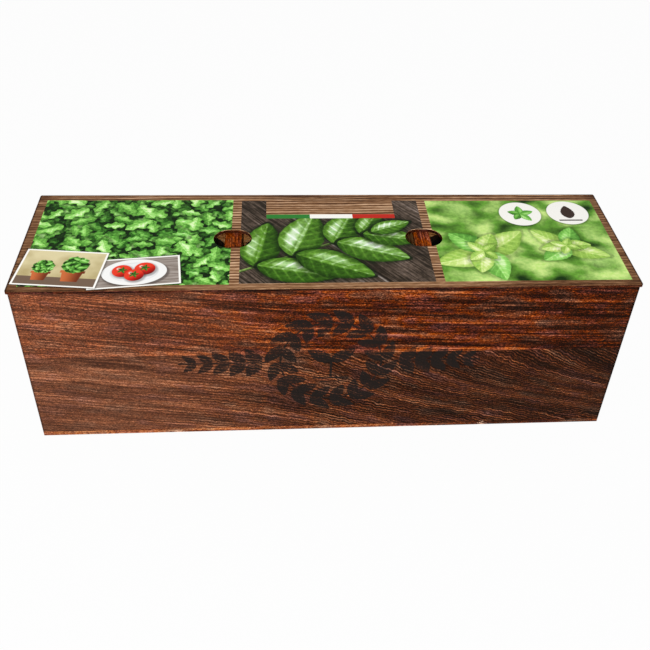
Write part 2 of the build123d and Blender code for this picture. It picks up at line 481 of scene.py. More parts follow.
def brushed_board(node, outward, notches, grain, seed):
    """Model a board from its plan outline: notched, eased at its outer corners and brushed outside."""
    low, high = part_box(node)
    size = high - low
    board = plan_sheet(f"{node}_brushed", low, high, low.z)
    mesh = board.data

    # Notches are rectangles in plan
    for x_low, x_high, y_low, y_high in notches:
        for place, normal in (((x_low, 0, 0), (1, 0, 0)), ((x_high, 0, 0), (1, 0, 0)),
                              ((0, y_low, 0), (0, 1, 0)), ((0, y_high, 0), (0, 1, 0))):
            pick_all()
            bpy.ops.mesh.bisect(plane_co=place, plane_no=normal)

    def in_notch(face):
        x, y, _ = face.calc_center_median()
        return any(a < x < b and c < y < d for a, b, c, d in notches)

    if notches:
        pick(mesh, "faces", in_notch)
        bpy.ops.mesh.delete(type="FACE")
        pick_all()
        bpy.ops.mesh.dissolve_limited(angle_limit=FLAT_ANGLE)

    # Outer corners, then the outer edge cut fine
    axis = 0 if outward[0] else 1
    side = outward[axis]
    outer_place = high[axis] if side > 0 else low[axis]
    other = 1 - axis

    def at_outer(vertex):
        return abs(vertex.co[axis] - outer_place) < NEAR

    if axis == 1:
        pick(mesh, "verts", at_outer)
        bpy.ops.mesh.bevel(offset=BOARD_EASE, segments=EASE_SEGMENTS, affect="VERTICES")
    pick(mesh, "edges", lambda edge: all(at_outer(vertex) for vertex in edge.verts))
    cells = size[other] / BOARD_STEP_ALONG
    bpy.ops.mesh.subdivide(number_cuts=round(cells / CELLS_PER_CUT) - 1)
    bpy.ops.mesh.subdivide(number_cuts=CELLS_PER_CUT - 1)
    bpy.ops.mesh.select_mode(type="FACE")
    raise_rows(size.z, round(size.z / BOARD_STEP_UP))

    # Brushed relief, cut into the outer face only
    tones, outers, drifts = (mesh.attributes.new(name, "FLOAT", "POINT").data
                             for name in ("grain", "outer", "drift"))
    for index, vertex in enumerate(mesh.vertices):
        outer = at_outer(vertex) or (axis == 1 and abs(vertex.co.y - outer_place) < BOARD_EASE)
        outers[index].value = 1.0 if outer else 0.0
        if not outer:
            continue
        place = vertex.co[other]
        tone, height, drift = grain(place * MM_PER_M, vertex.co.z * MM_PER_M, seed)
        # Tone darker within a short reach of the board's ends
        arris = min(place - low[other], high[other] - place)
        tones[index].value = tone - END_DARKENING_TONE * (1.0 - smooth(arris, 0.0, END_DARKENING_REACH))
        drifts[index].value = drift
        if not at_outer(vertex):
            continue
        rim = min(vertex.co.z - low.z, high.z - vertex.co.z)
        depth = BRUSHED_DEPTH * min(1.0, max(0.0, 1.0 - height))
        depth += ARRIS_DEPTH * (1.0 - smooth(rim, 0.0, ARRIS_REACH)) ** 2
        vertex.co[axis] -= side * depth
    bpy.ops.object.shade_smooth_by_angle(angle=BOARD_SMOOTHING)
    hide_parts(node)
    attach(board, "box")
    return board


def dress(thing, material):
    """Give a piece one material on all its faces."""
    thing.data.materials.clear()
    thing.data.materials.append(material)


# Printed and stencilled leaves, laid out in millimetres

def within(value, low, high, soft=0.15):
    """1 between two limits, with an edge as wide as the softness."""
    return value.ramp(low - soft, low + soft) * value.ramp(high + soft, high - soft)


def turned(x, y, centre, degrees):
    """The place seen from a centre, along and across a bearing."""
    c, s = math.cos(math.radians(degrees)), math.sin(math.radians(degrees))
    right, up = x - centre[0], y - centre[1]
    return right * c + up * s, up * c - right * s


def disc(x, y, centre, radius, soft=0.15):
    """1 inside a circle."""
    right, up = x - centre[0], y - centre[1]
    return ((right * right + up * up).math("SQRT") - radius).ramp(soft, -soft)


def blade(along, off, length, width, soft, end_soft=0.01, lobes=None):
    """A pointed leaf with its stalk at 0: where it lies, and the share along and across it."""
    share = along / length
    held = share.math("MAXIMUM", 0.0).math("MINIMUM", 1.0)
    teeth = (held * 48.0).math("SINE") * 0.32 / width + 1.0
    if lobes:
        teeth = teeth + (held * 17.0).math("SINE") * lobes
    half_width = (held * (1.0 - held) * 4.0) ** 0.75 * (1.2 - held * 0.5) * teeth * width * 0.5 + 0.001
    across = off / half_width
    lies = abs(across).ramp(1.0 + soft, 1.0 - soft) * within(share, end_soft, 1.0 - end_soft, end_soft)
    return lies, held, across


def leaf_tone(share, across, chance):
    """Light and dark on one leaf: a fold at the midrib, side veins, a sheen and a shaded rim."""
    out = abs(across)
    midrib = out.ramp(0.14, 0.03)
    wave = ((share * 7.0 - out * 1.3) * TURN).math("SINE")
    veins = wave.ramp(0.6, 1.0) + wave * 0.25
    fold = across.ramp(-0.25, 0.25) - 0.5
    rim = out.ramp(0.6, 1.0)
    sheen_along, sheen_across = share - 0.42, across - 0.42
    sheen = (sheen_along * sheen_along * 9.0 + sheen_across * sheen_across * 7.0).ramp(1.0, 0.0)
    tone = (chance - 0.5) * 0.4 + fold * 0.24 + midrib * 0.2 + veins * 0.09
    return tone + sheen * 0.24 - rim * 0.16 - share.ramp(0.25, 0.0) * 0.14 + 0.42


SHADE_SPREAD = 2.0
LEAF_OUTPUTS = "Leaf Shadow Tone"


def leaf_group():
    """One leaf, the shade that it casts and its tone."""
    group = Group("leaf", "Along Off Length Width Chance Soft Lobes", LEAF_OUTPUTS)
    along, off, length, width, chance, soft, lobes = group.inputs
    lies, share, across = blade(along, off, length, width, soft, lobes=lobes)
    shade, _, _ = blade(along + SHADE_SPREAD, off, length + 2.0 * SHADE_SPREAD,
                        width + 2.0 * SHADE_SPREAD, 0.4)
    return group.close(Leaf=lies, Shadow=shade, Tone=leaf_tone(share, across, chance))


LEAF = leaf_group()
LEAF_SOFT = 0.06


def strewn_leaves_group():
    """Leaves strewn at random, one to a cell, each lying over or under its neighbour."""
    group = Group("strewn_leaves", "X Y Cell Length Width Lobes", LEAF_OUTPUTS)
    x, y, cell, mean_length, mean_width, lobes = group.inputs
    column, row = x / cell, y / cell
    found = []
    for nearness in ("F1", "F2"):
        cells = new_node(group.tree, "TexVoronoi", {"Scale": 1.0, "Vector": point(column, row)},
                         voronoi_dimensions="2D", feature=nearness)
        middle_x, middle_y, _ = Shade(cells.outputs["Position"]).parts()
        dice = new_node(group.tree, "SeparateColor", {0: Shade(cells.outputs["Color"])})
        red, chance, blue = (Shade(socket) for socket in dice.outputs)
        turn = red * TURN
        growth = blue * 0.5 + 0.75
        right, up = (column - middle_x) * cell, (row - middle_y) * cell
        cosine, sine = turn.math("COSINE"), turn.math("SINE")
        length = mean_length * growth
        leaf = LEAF.place(Along=right * cosine + up * sine + length * 0.5, Off=up * cosine - right * sine,
                          Length=length, Width=mean_width * growth, Chance=chance, Soft=LEAF_SOFT,
                          Lobes=lobes)
        found.append((leaf, chance))
    (near, near_chance), (far, far_chance) = found
    near_on_top = near_chance.math("GREATER_THAN", far_chance)
    near_shows = near["Leaf"] * (1.0 - far["Leaf"] * (1.0 - near_on_top))
    near_tone = near["Tone"] - far["Shadow"] * (1.0 - near_on_top) * 0.35
    far_tone = far["Tone"] - near["Shadow"] * near_on_top * 0.35
    return group.close(Leaf=largest(near["Leaf"], far["Leaf"]),
                       Shadow=largest(near["Shadow"], far["Shadow"]),
                       Tone=far_tone + (near_tone - far_tone) * near_shows)


def rosette_group():
    """Leaves that spread from one point, X and Y being seen from it."""
    group = Group("leaf_rosette", "X Y Leaves Length Width Soft", LEAF_OUTPUTS)
    x, y, leaves, length, width, soft = group.inputs
    bearing = y.math("ARCTAN2", x)
    step = leaves / TURN
    number = (bearing * step).math("ROUND")
    swing = bearing - number / step
    reach = (x * x + y * y).math("SQRT")
    chance = chance_at(number.math("WRAP", leaves, 0.0) + length)
    leaf = LEAF.place(Along=reach * swing.math("COSINE"), Off=reach * swing.math("SINE"),
                      Length=length * (chance * 0.25 + 0.75), Width=width, Chance=chance, Soft=soft)
    return group.close(**leaf)


def sprig_group():
    """Pairs of leaves along a stem that runs with X from Start to End, smaller by Taper at its end."""
    group = Group("leaf_sprig", "X Y Pitch Length Width Angle Start End Taper", LEAF_OUTPUTS)
    x, y, pitch, length, width, angle, start, end, taper = group.inputs
    number = (x / pitch).math("FLOOR")
    forward = x - number * pitch
    aside, side = abs(y), y.math("SIGN")
    cosine, sine = angle.math("COSINE"), angle.math("SINE")
    place = (number + 0.5) * pitch
    there = place.math("GREATER_THAN", start) * place.math("LESS_THAN", end)
    growth = there * (1.0 - place.ramp(start, end) * taper) + 0.001
    leaf = LEAF.place(Along=forward * cosine + aside * sine, Off=(aside * cosine - forward * sine) * side,
                      Length=length * growth, Width=width * growth,
                      Chance=chance_at(number * 2.0 + side * 0.5), Soft=LEAF_SOFT)
    return group.close(**leaf)


STREWN_LEAVES = strewn_leaves_group()
LEAF_ROSETTE = rosette_group()
LEAF_SPRIG = sprig_group()

# Stencilled ornament on the front: a ring of leaves round a seedling, and a sprig to each side
STENCIL_CENTRE_Z = 54.0
RING_RADIUS = 28.0
RING_LEAVES = 16
RING_LEAF = {"Length": 14.0, "Width": 7.0, "Angle": math.radians(38), "Taper": 0.0}
SPRIG_START = 38.0
SPRIG_END = 84.0
SPRIG_LEAF = {"Length": 16.5, "Width": 8.0, "Angle": math.radians(40), "Taper": 0.45}
SPRIG_PITCH = 9.0
SPRIG_STEM_HALF = 0.6
SEED_LEAF = {"Length": 16.0, "Width": 8.0, "Chance": 0.5}
SEED_LEAF_RISE = 0.6
ENDLESS = 999.0

# Bars of the seedling: half length, and how low and high they lie from the centre
SEEDLING_BARS = ((0.7, -12.0, 1.5), (10.0, -13.0, -11.6), (6.0, -15.6, -14.6))


def front_ornament(finish, tone):
    """Where the ink lies, worn off the raised grain."""
    x = finish.x
    aside = abs(x)
    z = finish.z - STENCIL_CENTRE_Z
    reach = (x * x + z * z).math("SQRT")
    ring = LEAF_SPRIG.place(X=z.math("ARCTAN2", x) * RING_RADIUS, Y=reach - RING_RADIUS,
                            Pitch=TURN * RING_RADIUS / RING_LEAVES, Start=-ENDLESS, End=ENDLESS,
                            **RING_LEAF)
    ring_stem = abs(reach - RING_RADIUS).ramp(0.7, 0.4)
    sprig = LEAF_SPRIG.place(X=aside - SPRIG_START, Y=z, Pitch=SPRIG_PITCH, Start=0.0,
                             End=SPRIG_END - SPRIG_START, **SPRIG_LEAF)
    sprig_stem = within(aside, SPRIG_START - 2.0, SPRIG_END) * within(z, -SPRIG_STEM_HALF, SPRIG_STEM_HALF)
    cosine, sine = math.cos(SEED_LEAF_RISE), math.sin(SEED_LEAF_RISE)
    seed_leaf = LEAF.place(Along=aside * cosine + z * sine, Off=z * cosine - aside * sine, Soft=LEAF_SOFT,
                           **SEED_LEAF)
    bars = [within(z, low, high) * within(aside, -1.0, half) for half, low, high in SEEDLING_BARS]
    ink = largest(ring["Leaf"], ring_stem, sprig["Leaf"], sprig_stem, seed_leaf["Leaf"], *bars)
    patchy = cloud(x / 9.0, finish.z / 4.0, 3.0, detail=3.0).ramp(0.28, 0.46)
    rubbed = tone.ramp(0.95, 0.5)
    return ink * (patchy * 0.25 + 0.75) * (rubbed * 0.3 + 0.7) * 0.95


# Lid print: wood-grain paper with three pictures of leaves

LEAF_SHADE = srgb(10, 26, 6)
DEEP_LEAF = ((0.0, 16, 42, 10), (0.4, 40, 90, 24), (0.7, 72, 134, 48), (1.0, 108, 174, 76))
MID_LEAF = ((0.0, 44, 96, 28), (0.4, 94, 164, 62), (0.7, 136, 204, 94), (1.0, 190, 238, 152))
BRIGHT_LEAF = ((0.0, 64, 126, 40), (0.4, 124, 194, 82), (0.7, 172, 228, 124), (1.0, 236, 254, 208))
LIME_LEAF = ((0.0, 104, 152, 52), (0.4, 166, 206, 92), (0.7, 208, 232, 138), (1.0, 246, 252, 206))
GLOSSY_LEAF = ((0.0, 16, 40, 4), (0.3, 58, 102, 24), (0.55, 104, 154, 52),
               (0.75, 172, 210, 138), (0.9, 240, 250, 236))
BLURRED_LEAF = ((0.0, 84, 134, 48), (0.5, 142, 188, 88), (1.0, 194, 226, 138))
PRINTED_WOOD = ((0.0, 50, 26, 12), (0.3, 104, 69, 43), (0.6, 154, 115, 82), (1.0, 218, 180, 146))
PRINTED_PLANK = ((0.0, 10, 9, 6), (0.35, 52, 43, 34), (0.6, 102, 87, 76), (1.0, 168, 152, 144))
PAPER_RGB = (248, 246, 240)
PAPER_WHITE = srgb(*PAPER_RGB)
PRINTED_LINE_PITCH = 2.6
SHEET_EDGE_DARKENING_X = (163.9, 164.7)
SHEET_EDGE_DARKENING_Y = (44.4, 45.2)


def painted(picture, leaf, tones, shade=0.7):
    """Lay a group's leaves over a picture, with the shade that they cast."""
    picture = mix(leaf["Shadow"] * shade, picture, LEAF_SHADE)
    return mix(leaf["Leaf"], picture, leaf["Tone"].palette(*tones))


def printed_wood(x, y):
    """Brown wood print with fine dark lines along the lid."""
    drifted = y + (cloud(x / 55.0, y / 9.0) - 0.5) * 4.0
    lines = (drifted * (TURN / PRINTED_LINE_PITCH)).math("SINE")
    broken = cloud(x / 24.0, y / 4.0, 4.0).ramp(0.3, 0.55)
    lines = lines * broken * (y.ramp(-44.0, -39.0) * 0.6 + 0.4)
    lines = lines * (0.34 - abs(x).ramp(146.0, 156.0) * 0.2)
    tone = (cloud(x / 80.0, drifted / 5.0, 8.0) - 0.5) * 0.9 + lines
    tone = tone + (cloud(x / 5.0, drifted / 0.7, 12.0, detail=3.0, roughness=0.6) - 0.5) * 0.9 + 0.5
    tone = tone - y.ramp(37.0, 42.0) * 0.12 - abs(x).ramp(155.0, 162.0) * 0.14
    tone = tone - y.ramp(-40.5, -42.5) * abs(x).ramp(10.0, 110.0) * 0.16
    # Darker in a thin band along the ends and the back edge of the sheet
    tone = tone - largest(abs(x).ramp(*SHEET_EDGE_DARKENING_X), y.ramp(*SHEET_EDGE_DARKENING_Y)) * 0.35
    return tone.palette(*PRINTED_WOOD)


def mottled(picture, x, y, size, strength):
    """Light and dark flecks over a picture of leaves."""
    flecks = cloud(x / size, y / size, 30.0, detail=3.0, roughness=0.6)
    grey = ((flecks - 0.5) * 2.2 + 0.5).palette((0.0, 40, 40, 40), (1.0, 230, 230, 230))
    return mix(strength, picture, grey, "OVERLAY")


# Layers of the bed of leaves, the lowest first: cell, leaf length and width, tones and shift
BED_LAYERS = ((6.5, 11.0, 6.0, DEEP_LEAF, 3.0),
              (8.5, 12.5, 6.6, MID_LEAF, 71.0),
              (12.0, 14.0, 7.2, BRIGHT_LEAF, 137.0))
BED_LEAF_LOBES = 0.3


def herb_bed(x, y):
    """A dense bed of leaves in three layers."""
    picture = cloud(x / 8.0, y / 8.0, detail=3.0).palette((0.3, 8, 22, 4), (0.75, 44, 88, 28))
    for cell, length, width, tones, shift in BED_LAYERS:
        leaves = STREWN_LEAVES.place(X=x + shift, Y=y - shift, Cell=cell, Length=length, Width=width,
                                     Lobes=BED_LEAF_LOBES)
        picture = painted(picture, leaves, tones, 0.6)
    return mottled(picture, x, y, 1.8, 0.65)


# Middle picture: where the planks meet, and the stem that lies on them
PLANK_PLACE = (12.0, -20.0)
PLANK_BEARING = -52.0
STEM_START = (-50.0, -31.0)
STEM_BEARING = 27.0
STEM_LENGTH = 88.0
STEM_HALF = 0.9

# Its big leaves: stalk, bearing, length and width
BIG_LEAVES = (((-41.0, -26.0), 80.0, 42.0, 23.0), ((-40.0, -25.0), -14.0, 44.0, 22.0),
              ((-21.0, -17.0), 72.0, 44.0, 26.0), ((-19.0, -15.0), -26.0, 46.0, 24.0),
              ((2.0, -5.0), 68.0, 34.0, 21.0), ((4.0, -4.0), -22.0, 42.0, 22.0),
              ((18.0, 4.0), 62.0, 26.0, 15.0), ((19.0, 4.0), -12.0, 33.0, 17.0),
              ((24.0, 6.0), 24.0, 25.0, 13.0))


def sprig_on_planks(x, y):
    """One leafy sprig lying on dark planks."""
    along, off = turned(x, y, PLANK_PLACE, PLANK_BEARING)
    tone = (cloud(along / 22.0, off / 1.3, detail=3.0, roughness=0.6) - 0.5) * 1.3 + 0.45
    tone = tone + (cloud(along / 60.0, off / 14.0, 5.0) - 0.5) * 0.8
    picture = tone.palette(*PRINTED_PLANK)
    picture = mix(within(off, -0.5, 0.5, 0.3), picture, srgb(150, 140, 132))
    picture = mix(within(off, 0.9, 1.9, 0.5) * 0.8, picture, srgb(16, 13, 9))
    stem_along, stem_off = turned(x, y, STEM_START, STEM_BEARING)
    stem = within(stem_off, -STEM_HALF, STEM_HALF, 0.2) * within(stem_along, 0.0, STEM_LENGTH)
    stem_colour = stem_off.ramp(-STEM_HALF, STEM_HALF).palette((0.0, 60, 90, 30), (1.0, 150, 182, 96))
    picture = mix(stem, picture, stem_colour)
    for index, (stalk, bearing, length, width) in enumerate(BIG_LEAVES):
        along, off = turned(x, y, stalk, bearing)
        leaf = LEAF.place(Along=along, Off=off, Length=length, Width=width,
                          Chance=0.35 + 0.3 * (index % 3) / 2, Soft=0.04)
        picture = painted(picture, leaf, GLOSSY_LEAF, 0.9)
    return mottled(picture, x, y, 2.6, 0.6)


# Out of focus leaves on the right picture: centre, bearing, length, width and tone
BLURRED_LEAVES = (((143.0, -34.0), 60.0, 30.0, 17.0, 0.75), ((158.0, -6.0), 110.0, 26.0, 15.0, 0.5),
                  ((64.0, 30.0), -20.0, 28.0, 16.0, 0.6), ((72.0, -34.0), 70.0, 22.0, 13.0, 0.35))

# Leaves of a sprig seen from its tip: bearing, length, width, curl, chance and tones
TIP_LEAVES = ((8.0, 1.0, 0.62, 0.25, 0.6, LIME_LEAF), (196.0, 0.95, 0.58, -0.2, 0.8, LIME_LEAF),
              (108.0, 0.8, 0.54, 0.2, 0.3, BRIGHT_LEAF), (281.0, 0.86, 0.56, -0.25, 0.7, BRIGHT_LEAF),
              (58.0, 0.6, 0.42, -0.2, 0.5, LIME_LEAF), (232.0, 0.64, 0.44, 0.2, 0.8, LIME_LEAF))

# Sharp sprigs on the right picture: centre, turn and reach
SPRIG_TIPS = (((85.0, -14.0), 16.0, 31.0), ((133.0, -9.0), -48.0, 24.0))


def sprigs_in_haze(x, y):
    """Pale sprigs in front of blurred green."""
    picture = cloud(x / 21.0, y / 16.0, 6.0, detail=1.0).palette(
        (0.3, 18, 48, 8), (0.46, 104, 160, 56), (0.64, 204, 232, 138))
    for stalk, bearing, length, width, tone in BLURRED_LEAVES:
        along, off = turned(x, y, stalk, bearing)
        lies, _, _ = blade(along, off, length, width, 0.7, 0.2)
        tint = off.ramp(-width / 2, width / 2) * 0.3 + tone - 0.15
        picture = mix(lies * 0.8, picture, tint.palette(*BLURRED_LEAF))
    for centre, turn, reach in SPRIG_TIPS:
        for bearing, length, width, curl, chance, tones in TIP_LEAVES:
            along, off = turned(x, y, centre, turn + bearing)
            bent = off - along * along * (curl / reach)
            leaf = LEAF.place(Along=along, Off=bent, Length=length * reach, Width=width * reach,
                              Chance=chance, Soft=LEAF_SOFT)
            picture = painted(picture, leaf, tones, 0.3)
        right, up = turned(x, y, centre, turn + 25.0)
        heart = LEAF_ROSETTE.place(X=right, Y=up, Leaves=4.0, Length=0.4 * reach, Width=0.24 * reach,
                                   Soft=LEAF_SOFT)
        picture = painted(picture, heart, LIME_LEAF, 0.3)
    return mottled(picture, x, y, 2.6, 0.4)


# Picture cards on the left picture, the lower one first: centre, turn, length and width
PICTURE_CARDS = {"tomatoes": ((-103.0, -30.0), 6.0, 47.0, 25.0),
                 "pots": ((-141.0, -26.0), -6.0, 43.0, 31.0)}
CARD_BORDER = 1.0
CARD_SHADE_REACH = 0.7
CARD_SHADE_SOFT = 0.9


def on_card(along, off, length, width, soft=0.15):
    """1 inside a rectangle about the origin."""
    return within(along, -length / 2, length / 2, soft) * within(off, -width / 2, width / 2, soft)


def card_shades(picture, x, y, *cards):
    """Soft shade round the picture cards."""
    for card in cards:
        centre, turn, length, width = PICTURE_CARDS[card]
        along, off = turned(x, y, centre, turn)
        shade = on_card(along, off, length + 2 * CARD_SHADE_REACH, width + 2 * CARD_SHADE_REACH,
                        CARD_SHADE_SOFT)
        picture = mix(shade * 0.6, picture, srgb(16, 20, 12))
    return picture


def picture_card(x, y, card, drawn):
    """A white-bordered card with its picture."""
    centre, turn, length, width = PICTURE_CARDS[card]
    along, off = turned(x, y, centre, turn)
    inside = on_card(along, off, length - 2 * CARD_BORDER, width - 2 * CARD_BORDER)
    return mix(inside, PAPER_WHITE, drawn(along, off))


def potted_plants(along, off):
    """Two leafy plants in clay pots on a sill, before a sunlit wall."""
    scene = (cloud(along / 14.0, off / 14.0, 2.0) + off * 0.012).palette(
        (0.3, 176, 160, 112), (0.65, 216, 204, 160))
    scene = mix(off.ramp(-7.6, -8.0), scene, srgb(112, 92, 76))
    for middle, size in ((-9.0, 0.8), (7.0, 1.0)):
        across, up = (along - middle) / size, (off + 11.0) / size
        pot_half = up * 0.16 + 4.2
        pot = abs(across).ramp(pot_half + 0.2, pot_half - 0.2) * within(up, 0.0, 9.0)
        rim = within(across, -6.4, 6.4) * within(up, 7.2, 9.4)
        clay = across.ramp(-6.0, 6.0).palette((0.1, 196, 106, 60), (0.9, 112, 50, 26))
        scene = mix(largest(pot, rim), scene, clay)
        leaves = STREWN_LEAVES.place(X=across + middle, Y=up, Cell=2.6, Length=4.6, Width=2.6)
        ragged = cloud(across / 2.2, up / 2.2, middle) * 3.0
        crown = disc(across, up, (0.0, 14.5), ragged + 5.6, 0.25)
        greens = mix(leaves["Leaf"], srgb(24, 52, 14), leaves["Tone"].palette(*MID_LEAF))
        scene = mix(crown, scene, greens)
    return scene


def tomatoes_on_plate(along, off):
    """Three tomatoes on a white plate."""
    tone = cloud(along / 16.0, off / 0.8, 9.0, detail=2.0)
    scene = tone.palette((0.3, 112, 98, 88), (0.7, 176, 166, 158))
    depth = off * 1.5
    scene = mix(disc(along, depth, (0.6, -2.0), 17.4, 0.8) * 0.6, scene, srgb(50, 42, 38))
    scene = mix(disc(along, depth, (0.0, 0.0), 16.6), scene, srgb(238, 238, 236))
    scene = mix(disc(along, depth, (0.0, 0.0), 12.4, 0.4), scene, srgb(216, 217, 218))
    scene = mix(disc(along, depth, (0.0, -0.3), 11.8, 0.5), scene, srgb(232, 233, 233))
    for place, radius in (((-6.2, 1.6), 5.2), ((5.4, 2.4), 5.4), ((-0.2, -2.6), 5.0)):
        right, up = along - place[0], off - place[1]
        scene = mix(disc(right, up, (0.5, -0.9), radius + 0.7, 0.9) * 0.55, scene, srgb(60, 30, 24))
        light = (right * 0.55 - up * 0.8) / radius
        skin = light.palette((0.0, 226, 62, 40), (0.4, 192, 34, 24), (0.9, 112, 14, 12))
        scene = mix(disc(right, up, (0.0, 0.0), radius, 0.12), scene, skin)
        glint = disc(right, up, (-radius * 0.35, radius * 0.4), 0.9, 0.6)
        scene = mix(glint * 0.8, scene, srgb(255, 226, 214))
        stalk = LEAF_ROSETTE.place(X=right, Y=up - 0.8, Leaves=5.0, Length=3.4, Width=1.5, Soft=0.1)
        scene = painted(scene, stalk, DEEP_LEAF, 0.0)
    return scene


# Stripe of three colours: its left and right end, and its lower and upper edge
STRIPE_X = (-34.8, 39.2)
STRIPE_Y = (20.0, 24.2)


def border_and_stripe(x, y):
    """Wood print round the pictures, with a stripe of three colours."""
    picture = printed_wood(x, y)
    stripe = (x / 74.0 + 0.47).palette((0.0, 48, 124, 52), (0.3333, *PAPER_RGB), (0.6667, 188, 44, 34),
                                       interpolation="CONSTANT")
    picture = mix(within(x, *STRIPE_X) * within(y, *STRIPE_Y), picture, stripe)
    return card_shades(picture, x, y, "tomatoes", "pots")


def left_picture(x, y):
    return card_shades(herb_bed(x, y), x, y, "tomatoes", "pots")


# Round marks on the right picture
STAR_MARK = (114.0, 24.0)
DROP_MARK = (143.0, 25.0)
MARK_RADIUS = 12.4


def right_picture(x, y):
    """The sprigs, and two round marks: a leaf star and a drop."""
    picture = sprigs_in_haze(x, y)
    for centre in (STAR_MARK, DROP_MARK):
        shade = disc(x, y, (centre[0], centre[1] - 0.5), MARK_RADIUS + 0.6, 0.9)
        picture = mix(shade * 0.5, picture, srgb(30, 44, 22))
        picture = mix(disc(x, y, centre, MARK_RADIUS), picture, PAPER_WHITE)
    star = LEAF_ROSETTE.place(X=y - STAR_MARK[1], Y=x - STAR_MARK[0], Leaves=5.0, Length=9.5, Width=5.0,
                              Soft=LEAF_SOFT)
    picture = painted(picture, star, MID_LEAF, 0.0)
    drop = LEAF.place(Along=y - (DROP_MARK[1] - 6.0), Off=x - DROP_MARK[0], Length=13.5, Width=8.4,
                      Chance=0.2, Soft=LEAF_SOFT)
    picture = mix(drop["Leaf"], picture, srgb(58, 44, 38))
    ground = within(y, 16.4, 17.6) * within(x, DROP_MARK[0] - 7.0, DROP_MARK[0] + 7.0)
    return mix(ground, picture, srgb(52, 46, 42))


def tomato_card(x, y):
    return card_shades(picture_card(x, y, "tomatoes", tomatoes_on_plate), x, y, "pots")


def pot_card(x, y):
    return picture_card(x, y, "pots", potted_plants)


PRINT_BUMP = 0.02 * MM
PRINT_SPECULAR = 0.03


def printed(name, drawn):
    """Satin print: the picture, and a faint paper grain."""
    finish = Finish(name)
    grit = cloud(finish.x / 0.5, finish.y / 0.5, detail=2.0)
    return finish.set(Base_Color=drawn(finish.x, finish.y), Roughness=grit * 0.12 + 0.36,
                      Normal=bump(grit, PRINT_BUMP), Specular_IOR_Level=PRINT_SPECULAR)


# What is printed where: centre, turn, length and width, each over those before it
PRINT_PLACES = (("left_picture_print", left_picture, ((-107.0, -0.75), 0.0, 106.0, 81.5)),
                ("middle_picture_print", sprig_on_planks, ((2.5, -1.0), 0.0, 103.0, 80.0)),
                ("right_picture_print", right_picture, ((109.75, -1.25), 0.0, 101.5, 79.5)),
                ("border_print", border_and_stripe, ((2.2, 29.75), 0.0, 74.0, 19.5)),
                ("tomato_card_print", tomato_card, PICTURE_CARDS["tomatoes"]),
                ("pot_card_print", pot_card, PICTURE_CARDS["pots"]))

# Finger holes
HOLE_LENGTH = 21.0 * MM
HOLE_WIDTH = 17.5 * MM
HOLE_SIDES = 64
HOLE_CUT_DEPTH = 4.0 * MM


def centre_x(node):
    """How far along X the middle of a node lies."""
    low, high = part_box(node)
    return (low.x + high.x) / 2


def cut_finger_hole(sheet, divider, z):
    """Pierce a sheet over a divider."""
    deselect()
    bpy.ops.mesh.primitive_cylinder_add(vertices=HOLE_SIDES, radius=HOLE_WIDTH / 2, depth=HOLE_CUT_DEPTH,
                                        location=(centre_x(divider), 0.0, z))
    cutter = bpy.context.object
    bpy.ops.object.mode_set(mode="EDIT")
    for side in (-1, 1):
        pick(cutter.data, "verts", lambda vertex: vertex.co.x * side > NEAR)
        bpy.ops.transform.translate(value=(side * (HOLE_LENGTH - HOLE_WIDTH) / 2, 0, 0))
    bpy.ops.object.mode_set(mode="OBJECT")
    deselect()
    sheet.select_set(True)
    bpy.context.view_layer.objects.active = sheet
    cut = sheet.modifiers.new("finger_hole", "BOOLEAN")
    cut.operation = "DIFFERENCE"
    cut.solver = "EXACT"
    cut.object = cutter
    bpy.ops.object.modifier_apply(modifier=cut.name)
    bpy.data.objects.remove(cutter)


def plan_turn(degrees):
    return Matrix.Rotation(math.radians(degrees), 3, "Z")


def print_sheet():
    """Model the printed sheet: cut along the edges of its pictures, pierced by the finger holes."""
    low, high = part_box("lid_print")
    sheet = plan_sheet("lid_print_sheet", low, high, high.z)
    mesh = sheet.data
    slots = {"border_print": 0}
    mesh.materials.append(printed("border_print", border_and_stripe))
    pick_all()
    bpy.ops.mesh.bevel(offset=BOARD_EASE, segments=EASE_SEGMENTS, affect="VERTICES")
    for name, drawn, (middle, turn, length, width) in PRINT_PLACES:
        if name not in slots:
            slots[name] = len(mesh.materials)
            mesh.materials.append(printed(name, drawn))
        for direction, reach in (((1, 0, 0), length / 2), ((0, 1, 0), width / 2)):
            normal = plan_turn(turn) @ Vector(direction)
            for side in (-1, 1):
                place = Vector((*middle, 0.0)) + side * reach * normal
                pick_all()
                bpy.ops.mesh.bisect(plane_co=place * MM, plane_no=normal)
    bpy.ops.object.mode_set(mode="OBJECT")
    for face in mesh.polygons:
        x, y = face.center.x * MM_PER_M, face.center.y * MM_PER_M
        for name, _, (middle, turn, length, width) in PRINT_PLACES:
            along, off, _ = plan_turn(-turn) @ Vector((x - middle[0], y - middle[1], 0.0))
            if abs(along) < length / 2 and abs(off) < width / 2:
                face.material_index = slots[name]
    bpy.ops.object.mode_set(mode="EDIT")
    bpy.ops.mesh.select_mode(type="FACE")
    pick_all()
    bpy.ops.mesh.dissolve_limited(angle_limit=FLAT_ANGLE, delimit={"MATERIAL"})
    raise_rows(low.z - high.z, 1)
    for divider in ("left_divider", "right_divider"):
        cut_finger_hole(sheet, divider, (low.z + high.z) / 2)
    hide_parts("lid_print")
    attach(sheet, "lid")


# Wooden pieces

# Where the stain begins and is full, in millimetres from the middle, the underside or a hole's edge
LONG_BOARD_STAIN_Y = (36.5, 39.0)
END_BOARD_STAIN_X = (156.0, 158.5)
DIVIDER_STAIN_Z = (99.0, 101.5)
LID_EDGE_X = (163.5, 164.5)
LID_EDGE_Y = (44.0, 45.0)
HOLE_EDGE = (0.5, 0.2)


